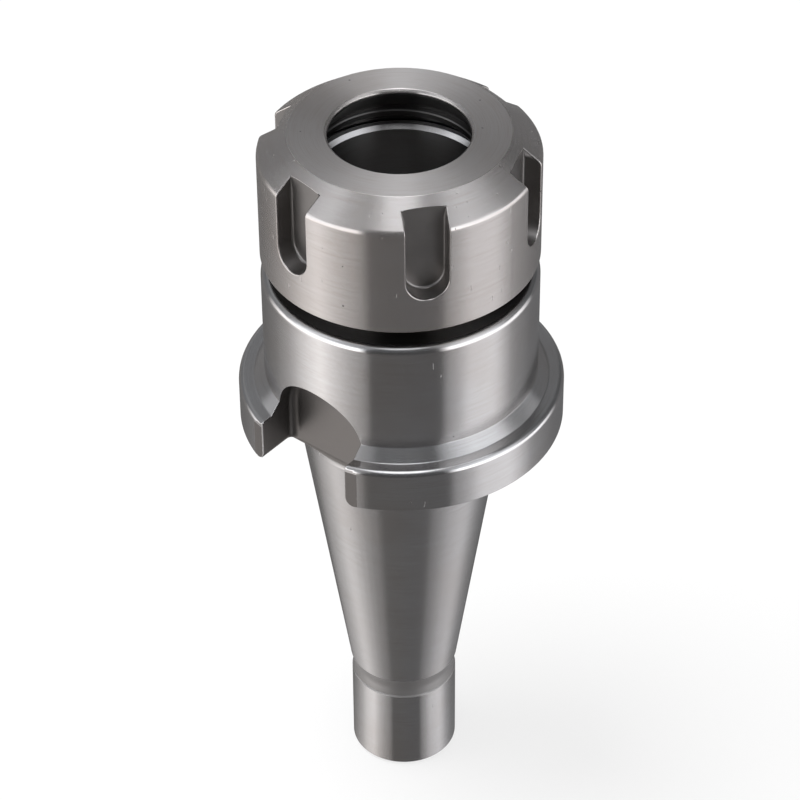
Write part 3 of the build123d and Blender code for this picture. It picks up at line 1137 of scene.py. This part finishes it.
# Levels of the light round the part, band by band from below: (degrees from the front, level)
LIGHT_BANDS = {
    "deep": [
        (-180, 0.25), (-159, 0.36), (-124, 0.66), (-98, 1.0), (-74, 0.58), (-54, 0.34), (-37, 0.24),
        (-32, 0.17), (0, 0.17), (38, 0.16), (44, 0.24), (62, 0.36), (84, 0.62), (104, 0.76),
        (133, 0.32), (158, 0.25), (180, 0.25),
    ],
    "low": [
        (-180, 0.14), (-149, 0.18), (-126, 0.26), (-104, 0.52), (-86, 1.1), (-70, 1.6), (-56, 1.06),
        (-42, 0.64), (-33, 0.48), (-28, 0.38), (-25, 0.15), (0, 0.15), (33, 0.14), (37, 0.4),
        (46, 0.6), (58, 1.12), (82, 1.2), (104, 0.36), (134, 0.2), (180, 0.14),
    ],
    "strips": [
        (-180, 0.5), (-160, 0.25), (-120, 0.24), (-101, 2.0), (-32, 2.8), (-26, 0.08), (28, 0.08),
        (37, 2.8), (100, 2.0), (118, 0.2), (160, 0.18), (180, 0.5),
    ],
    "walls": [
        (-180, 0.5), (-162, 0.3), (-148, 0.2), (-120, 0.25), (-98, 0.35), (-84, 1.8), (-34, 2.6),
        (-26, 0.08), (28, 0.08), (37, 2.6), (72, 1.8), (88, 0.2), (115, 0.12), (150, 0.12),
        (162, 0.3), (180, 0.5),
    ],
    "boxes": [
        (-180, 0.22), (-160, 0.34), (-120, 0.36), (-98, 0.6), (-80, 1.3), (-62, 0.75), (-35, 0.42),
        (-26, 0.36), (-22, 0.13), (28, 0.12), (34, 0.44), (60, 1.2), (86, 1.0), (104, 0.38),
        (126, 0.13), (150, 0.12), (180, 0.22),
    ],
    "top": [
        (-180, 3.4), (-150, 2.8), (-110, 0.8), (-70, 0.48), (-40, 0.42), (-18, 1.5), (22, 1.45),
        (44, 0.34), (70, 0.44), (110, 0.6), (150, 2.6), (180, 3.4),
    ],
}
# Elevations between which each band passes into the next
BAND_EDGES = [(-49, -44), (-18, -9), (14, 19), (27, 36), (61, 66), (76, 84)]
ZENITH_LEVEL = 3.6


def hide_from(piece, *kinds):
    """Hide a stage piece from these kinds of ray."""
    for kind in kinds:
        setattr(piece, "visible_" + kind, False)


def stage_piece(name, points, faces, material):
    """A floor or card of the studio."""
    mesh = bpy.data.meshes.new(name)
    mesh.from_pydata(points, [], faces)
    mesh.materials.append(material)
    piece = bpy.data.objects.new(name, mesh)
    bpy.context.scene.collection.objects.link(piece)
    return piece


def floor_material(studio):
    """Pale floor that is white to the camera and keeps a soft shadow."""
    material = bpy.data.materials.new("pale_floor")
    bench = NodeBench(material)
    paint = bench.node("ShaderNodeBsdfDiffuse", inputs={"Color": (*studio.floor_colour, 1.0)})
    glow = bench.node("ShaderNodeEmission", inputs={"Color": (1, 1, 1, 1), "Strength": 1.0})
    path = bench.node("ShaderNodeLightPath").outputs
    seen = bench.maths("MAXIMUM", path["Is Camera Ray"], path["Is Transmission Ray"])
    share = bench.maths("MULTIPLY", seen, FLOOR_GLOW)
    bench.mixed_output("ShaderNodeOutputMaterial", share, paint, glow)
    return material


def card_ramp(bench, value, stops):
    """Grey level by direction: stops of (degrees from the front, level)."""
    ramp = bench.node("ShaderNodeValToRGB", inputs={0: value})
    elements = ramp.color_ramp.elements
    while len(elements) > 1:
        elements.remove(elements[-1])
    highest = max(level for _, level in stops)
    elements[0].position = 0.0
    for degrees, level in stops:
        element = elements[0] if degrees == -180 else elements.new((degrees + 180.0) / 360.0)
        element.color = (level / highest, level / highest, level / highest, 1.0)
    return bench.maths("MULTIPLY", ramp.outputs[0], highest)


def direction_from_front(bench, parts, front):
    """Direction round the axis as a share of a turn, half at the front."""
    turned = bench.maths("SUBTRACT", bench.maths("ARCTAN2", parts[1], parts[0]), front)
    share = bench.maths("ADD", bench.maths("DIVIDE", turned, FULL_TURN), 0.5)
    return bench.maths("FRACT", share)


def zoned(bench, value, levels, edges):
    """Levels in zones one after the other, each joined to the next between two edges."""
    level = levels[0]
    for after, (start, end) in zip(levels[1:], edges):
        share = bench.spread(value, start, end, 0.0, 1.0)
        mixed = bench.node("ShaderNodeMix", data_type="FLOAT", inputs={0: share, 2: level, 3: after})
        level = mixed.outputs[0]
    return level


def card_material(studio, front):
    """Glowing cards: warm below and at the left, cool above and at the right."""
    material = bpy.data.materials.new("light_cards")
    bench = NodeBench(material)
    place = bench.node("ShaderNodeTexCoord").outputs["Object"]
    parts = bench.node("ShaderNodeSeparateXYZ", inputs={0: place}).outputs
    side = bench.spread(direction_from_front(bench, parts, front), 0.45, 0.55, 0.0, 1.0)
    tint = bench.blend(side, (*studio.left_colour, 1.0), (*studio.right_colour, 1.0))
    tint = bench.blend(bench.spread(parts[2], -0.2, 0.5, 0.0, 1.0), tint, (*studio.high_colour, 1.0))
    glow = bench.node("ShaderNodeEmission", inputs={
        "Color": tint, "Strength": light_level(bench, place, front),
    })
    bench.node("ShaderNodeOutputMaterial", inputs={0: glow.outputs[0]})
    return material


def light_level(bench, place, front):
    """Light level by direction, with the bands blended one into the next from below to the zenith."""
    unit = bench.node("ShaderNodeVectorMath", operation="NORMALIZE", inputs={0: place}).outputs[0]
    parts = bench.node("ShaderNodeSeparateXYZ", inputs={0: unit}).outputs
    share = direction_from_front(bench, parts, front)
    levels = [card_ramp(bench, share, stops) for stops in LIGHT_BANDS.values()] + [ZENITH_LEVEL]
    heights = [(sin(radians(start)), sin(radians(end))) for start, end in BAND_EDGES]
    return zoned(bench, parts[2], levels, heights)


def ring_of_points(radius, height, count):
    """Points round a circle."""
    return [
        (radius * cos(FULL_TURN * i / count), radius * sin(FULL_TURN * i / count), height)
        for i in range(count)
    ]


def sphere_mesh(radius, rows, count):
    """Points and faces of a sphere."""
    points = [(0.0, 0.0, radius)]
    for row in range(1, rows):
        angle = pi * row / rows
        points += ring_of_points(radius * sin(angle), radius * cos(angle), count)
    points.append((0.0, 0.0, -radius))
    faces = [(0, 1 + i, 1 + (i + 1) % count) for i in range(count)]
    for row in range(rows - 2):
        first = 1 + row * count
        faces += [
            (first + i, first + count + i, first + count + (i + 1) % count, first + (i + 1) % count)
            for i in range(count)
        ]
    first, last = 1 + (rows - 2) * count, len(points) - 1
    faces += [(first + (i + 1) % count, first + i, last) for i in range(count)]
    return points, faces


def build_stage(studio):
    """Floor, light from all round for the metal, lamp and even light for the floor."""
    front = studio.camera_turn - pi / 2
    floor = stage_piece(
        "floor",
        [(x * FLOOR_HALF, y * FLOOR_HALF, 0) for x, y in ((-1, -1), (1, -1), (1, 1), (-1, 1))],
        [(0, 1, 2, 3)],
        floor_material(studio),
    )
    hide_from(floor, "glossy")
    cards = stage_piece("light_cards", *sphere_mesh(LIGHT_RADIUS, 48, 96), card_material(studio, front))
    cards.location = LIGHT_CENTRE
    hide_from(cards, "camera", "diffuse", "shadow", "transmission", "volume_scatter")
    lamp = bpy.data.lights.new("overhead_lamp", "AREA")
    lamp.shape = "DISK"
    lamp.size = LAMP_SIZE
    lamp.energy = studio.lamp_watts
    hung = bpy.data.objects.new("overhead_lamp", lamp)
    hung.location = LAMP_PLACE
    hung.rotation_euler = (LAMP_AIM - LAMP_PLACE).to_track_quat("-Z", "Y").to_euler()
    bpy.context.scene.collection.objects.link(hung)
    hide_from(hung, "glossy")
    build_sky(studio)


def build_sky(studio):
    """White to the camera and to reflections, and an even light for everything else."""
    world = bpy.data.worlds.new("even_light")
    bpy.context.scene.world = world
    bench = NodeBench(world)
    path = bench.node("ShaderNodeLightPath").outputs
    seen = bench.maths("MAXIMUM", path["Is Camera Ray"], path["Is Glossy Ray"])
    seen = bench.maths("MAXIMUM", seen, path["Is Transmission Ray"])
    lights, white = [
        bench.node("ShaderNodeBackground", inputs={"Color": (1, 1, 1, 1), "Strength": strength})
        for strength in (studio.sky_strength, 1.0)
    ]
    bench.mixed_output("ShaderNodeOutputWorld", seen, lights, white)


def build_camera(studio):
    """Camera at the photograph's place and tilt."""
    camera = bpy.data.cameras.new("camera")
    camera.lens = studio.lens
    camera.sensor_width = 36.0
    camera.sensor_fit = "HORIZONTAL"
    camera.clip_start = 0.01
    camera.clip_end = 20.0
    held = bpy.data.objects.new("camera", camera)
    held.matrix_world = (
        Matrix.Translation(CAMERA_PLACE)
        @ Matrix.Rotation(studio.camera_turn, 4, "Z")
        @ Matrix.Rotation(studio.camera_tilt, 4, "X")
        @ Matrix.Rotation(studio.camera_roll, 4, "Z")
    )
    bpy.context.scene.collection.objects.link(held)
    bpy.context.scene.camera = held


# Operators


class CHUCK_OT_stage(bpy.types.Operator):
    """Set up the floor, the light and the camera"""

    bl_idname = "chuck.stage"
    bl_label = "Stage"

    def execute(self, context):
        studio = context.scene.chuck_studio
        build_camera(studio)
        build_stage(studio)
        context.scene.view_settings.view_transform = "Standard"
        return {"FINISHED"}


class CHUCK_OT_holder_body(bpy.types.Operator):
    """Turn, thread and mill the holder body"""

    bl_idname = "chuck.holder_body"
    bl_label = "Holder body"

    def execute(self, context):
        scene = context.scene
        finish = scene.chuck_finish
        sizes = scene.chuck_holder
        ground = steel(
            "ground_steel", finish.holder_colour, finish, finish.ground_roughness, finish.ground_haze,
            GROUND_RINGS, finish.holder_wear, 0.0,
            (sizes.relief_start - sizes.lip_dulled, sizes.tail_length, sizes.pilot_diameter / 2),
        )
        # The key slots' colour is partly painted shade.
        milled = milled_steel_and_shade("milled_key_slots_and_shade", finish.key_slot_dull_and_shade_colour, finish)
        # Painted shade in the holder's bores.
        shaded_recess = steel("holder_bores_painted_shade", finish.bore_shade_colour, finish, finish.bored_roughness, 0.0, TURNED_RINGS)
        # Painted shade in the gap under the nut.
        gap = steel("gap_under_nut_painted_shade", finish.gap_shade_colour, finish, finish.bored_roughness, 0.0, TURNED_RINGS)
        piece = holder_piece(sizes, scene.chuck_key_slots, (ground, milled, shaded_recess, gap))
        if not piece.data.polygons:
            raise RuntimeError("the holder body came out empty")
        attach(piece, "holder")
        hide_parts("holder_body")
        return {"FINISHED"}


class CHUCK_OT_clamping_nut(bpy.types.Operator):
    """Turn, thread and mill the clamping nut"""

    bl_idname = "chuck.clamping_nut"
    bl_label = "Clamping nut"

    def execute(self, context):
        scene = context.scene
        finish = scene.chuck_finish
        turned = steel(
            "turned_steel", finish.nut_colour, finish, finish.turned_roughness, finish.turned_haze,
            TURNED_RINGS, finish.nut_wear, finish.nut_film,
        )
        # The spanner slots' colour is partly painted shade.
        milled = milled_steel_and_shade("milled_spanner_slots_and_shade", finish.spanner_slot_dull_and_shade_colour, finish)
        # Painted shade inside the nut and on its rear face.
        shaded_recess = steel("nut_recesses_painted_shade", finish.nut_bore_shade_colour, finish, finish.bored_roughness, 0.0, TURNED_RINGS)
        piece = nut_piece(
            scene.chuck_nut, scene.chuck_spanner_slots, scene.chuck_holder.nose_pitch,
            nut_low.z, nut_high.z, nut_high.x, (turned, milled, shaded_recess),
        )
        if not piece.data.polygons:
            raise RuntimeError("the clamping nut came out empty")
        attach(piece, "nut")
        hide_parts("clamping_nut")
        return {"FINISHED"}


class CHUCK_PT_panel(bpy.types.Panel):
    """Sidebar panel with the sizes and the steps of the collet chuck holder"""

    bl_idname = "CHUCK_PT_panel"
    bl_label = "Collet Chuck Holder"
    bl_space_type = "VIEW_3D"
    bl_region_type = "UI"
    bl_category = "Chuck Holder"

    def draw(self, context):
        for group, operators in STEPS:
            box = self.layout.box()
            for name in group:
                settings = getattr(context.scene, name)
                for field in settings.__annotations__:
                    box.prop(settings, field)
            for operator in operators:
                box.operator(operator)


STEPS = [
    (("chuck_studio",), ("chuck.stage",)),
    (("chuck_finish", "chuck_holder", "chuck_key_slots"), ("chuck.holder_body",)),
    (("chuck_nut", "chuck_spanner_slots"), ("chuck.clamping_nut",)),
]
GROUPS = {
    "chuck_studio": StudioSettings,
    "chuck_finish": SteelFinish,
    "chuck_holder": HolderSizes,
    "chuck_key_slots": KeySlotSizes,
    "chuck_nut": NutSizes,
    "chuck_spanner_slots": SpannerSlotSizes,
}
CLASSES = (
    *GROUPS.values(),
    CHUCK_OT_stage,
    CHUCK_OT_holder_body,
    CHUCK_OT_clamping_nut,
    CHUCK_PT_panel,
)


def register():
    """Register the classes and hang the settings on the scene."""
    for item in CLASSES:
        bpy.utils.register_class(item)
    for name, group in GROUPS.items():
        setattr(bpy.types.Scene, name, bpy.props.PointerProperty(type=group))


def unregister():
    """Take the settings and the classes away again."""
    for name in GROUPS:
        delattr(bpy.types.Scene, name)
    for item in reversed(CLASSES):
        bpy.utils.unregister_class(item)


def main():
    """Build the stage and the pieces in order."""
    register()
    bpy.ops.chuck.stage()
    bpy.ops.chuck.holder_body()
    bpy.ops.chuck.clamping_nut()


if __name__ == "__main__":
    main()
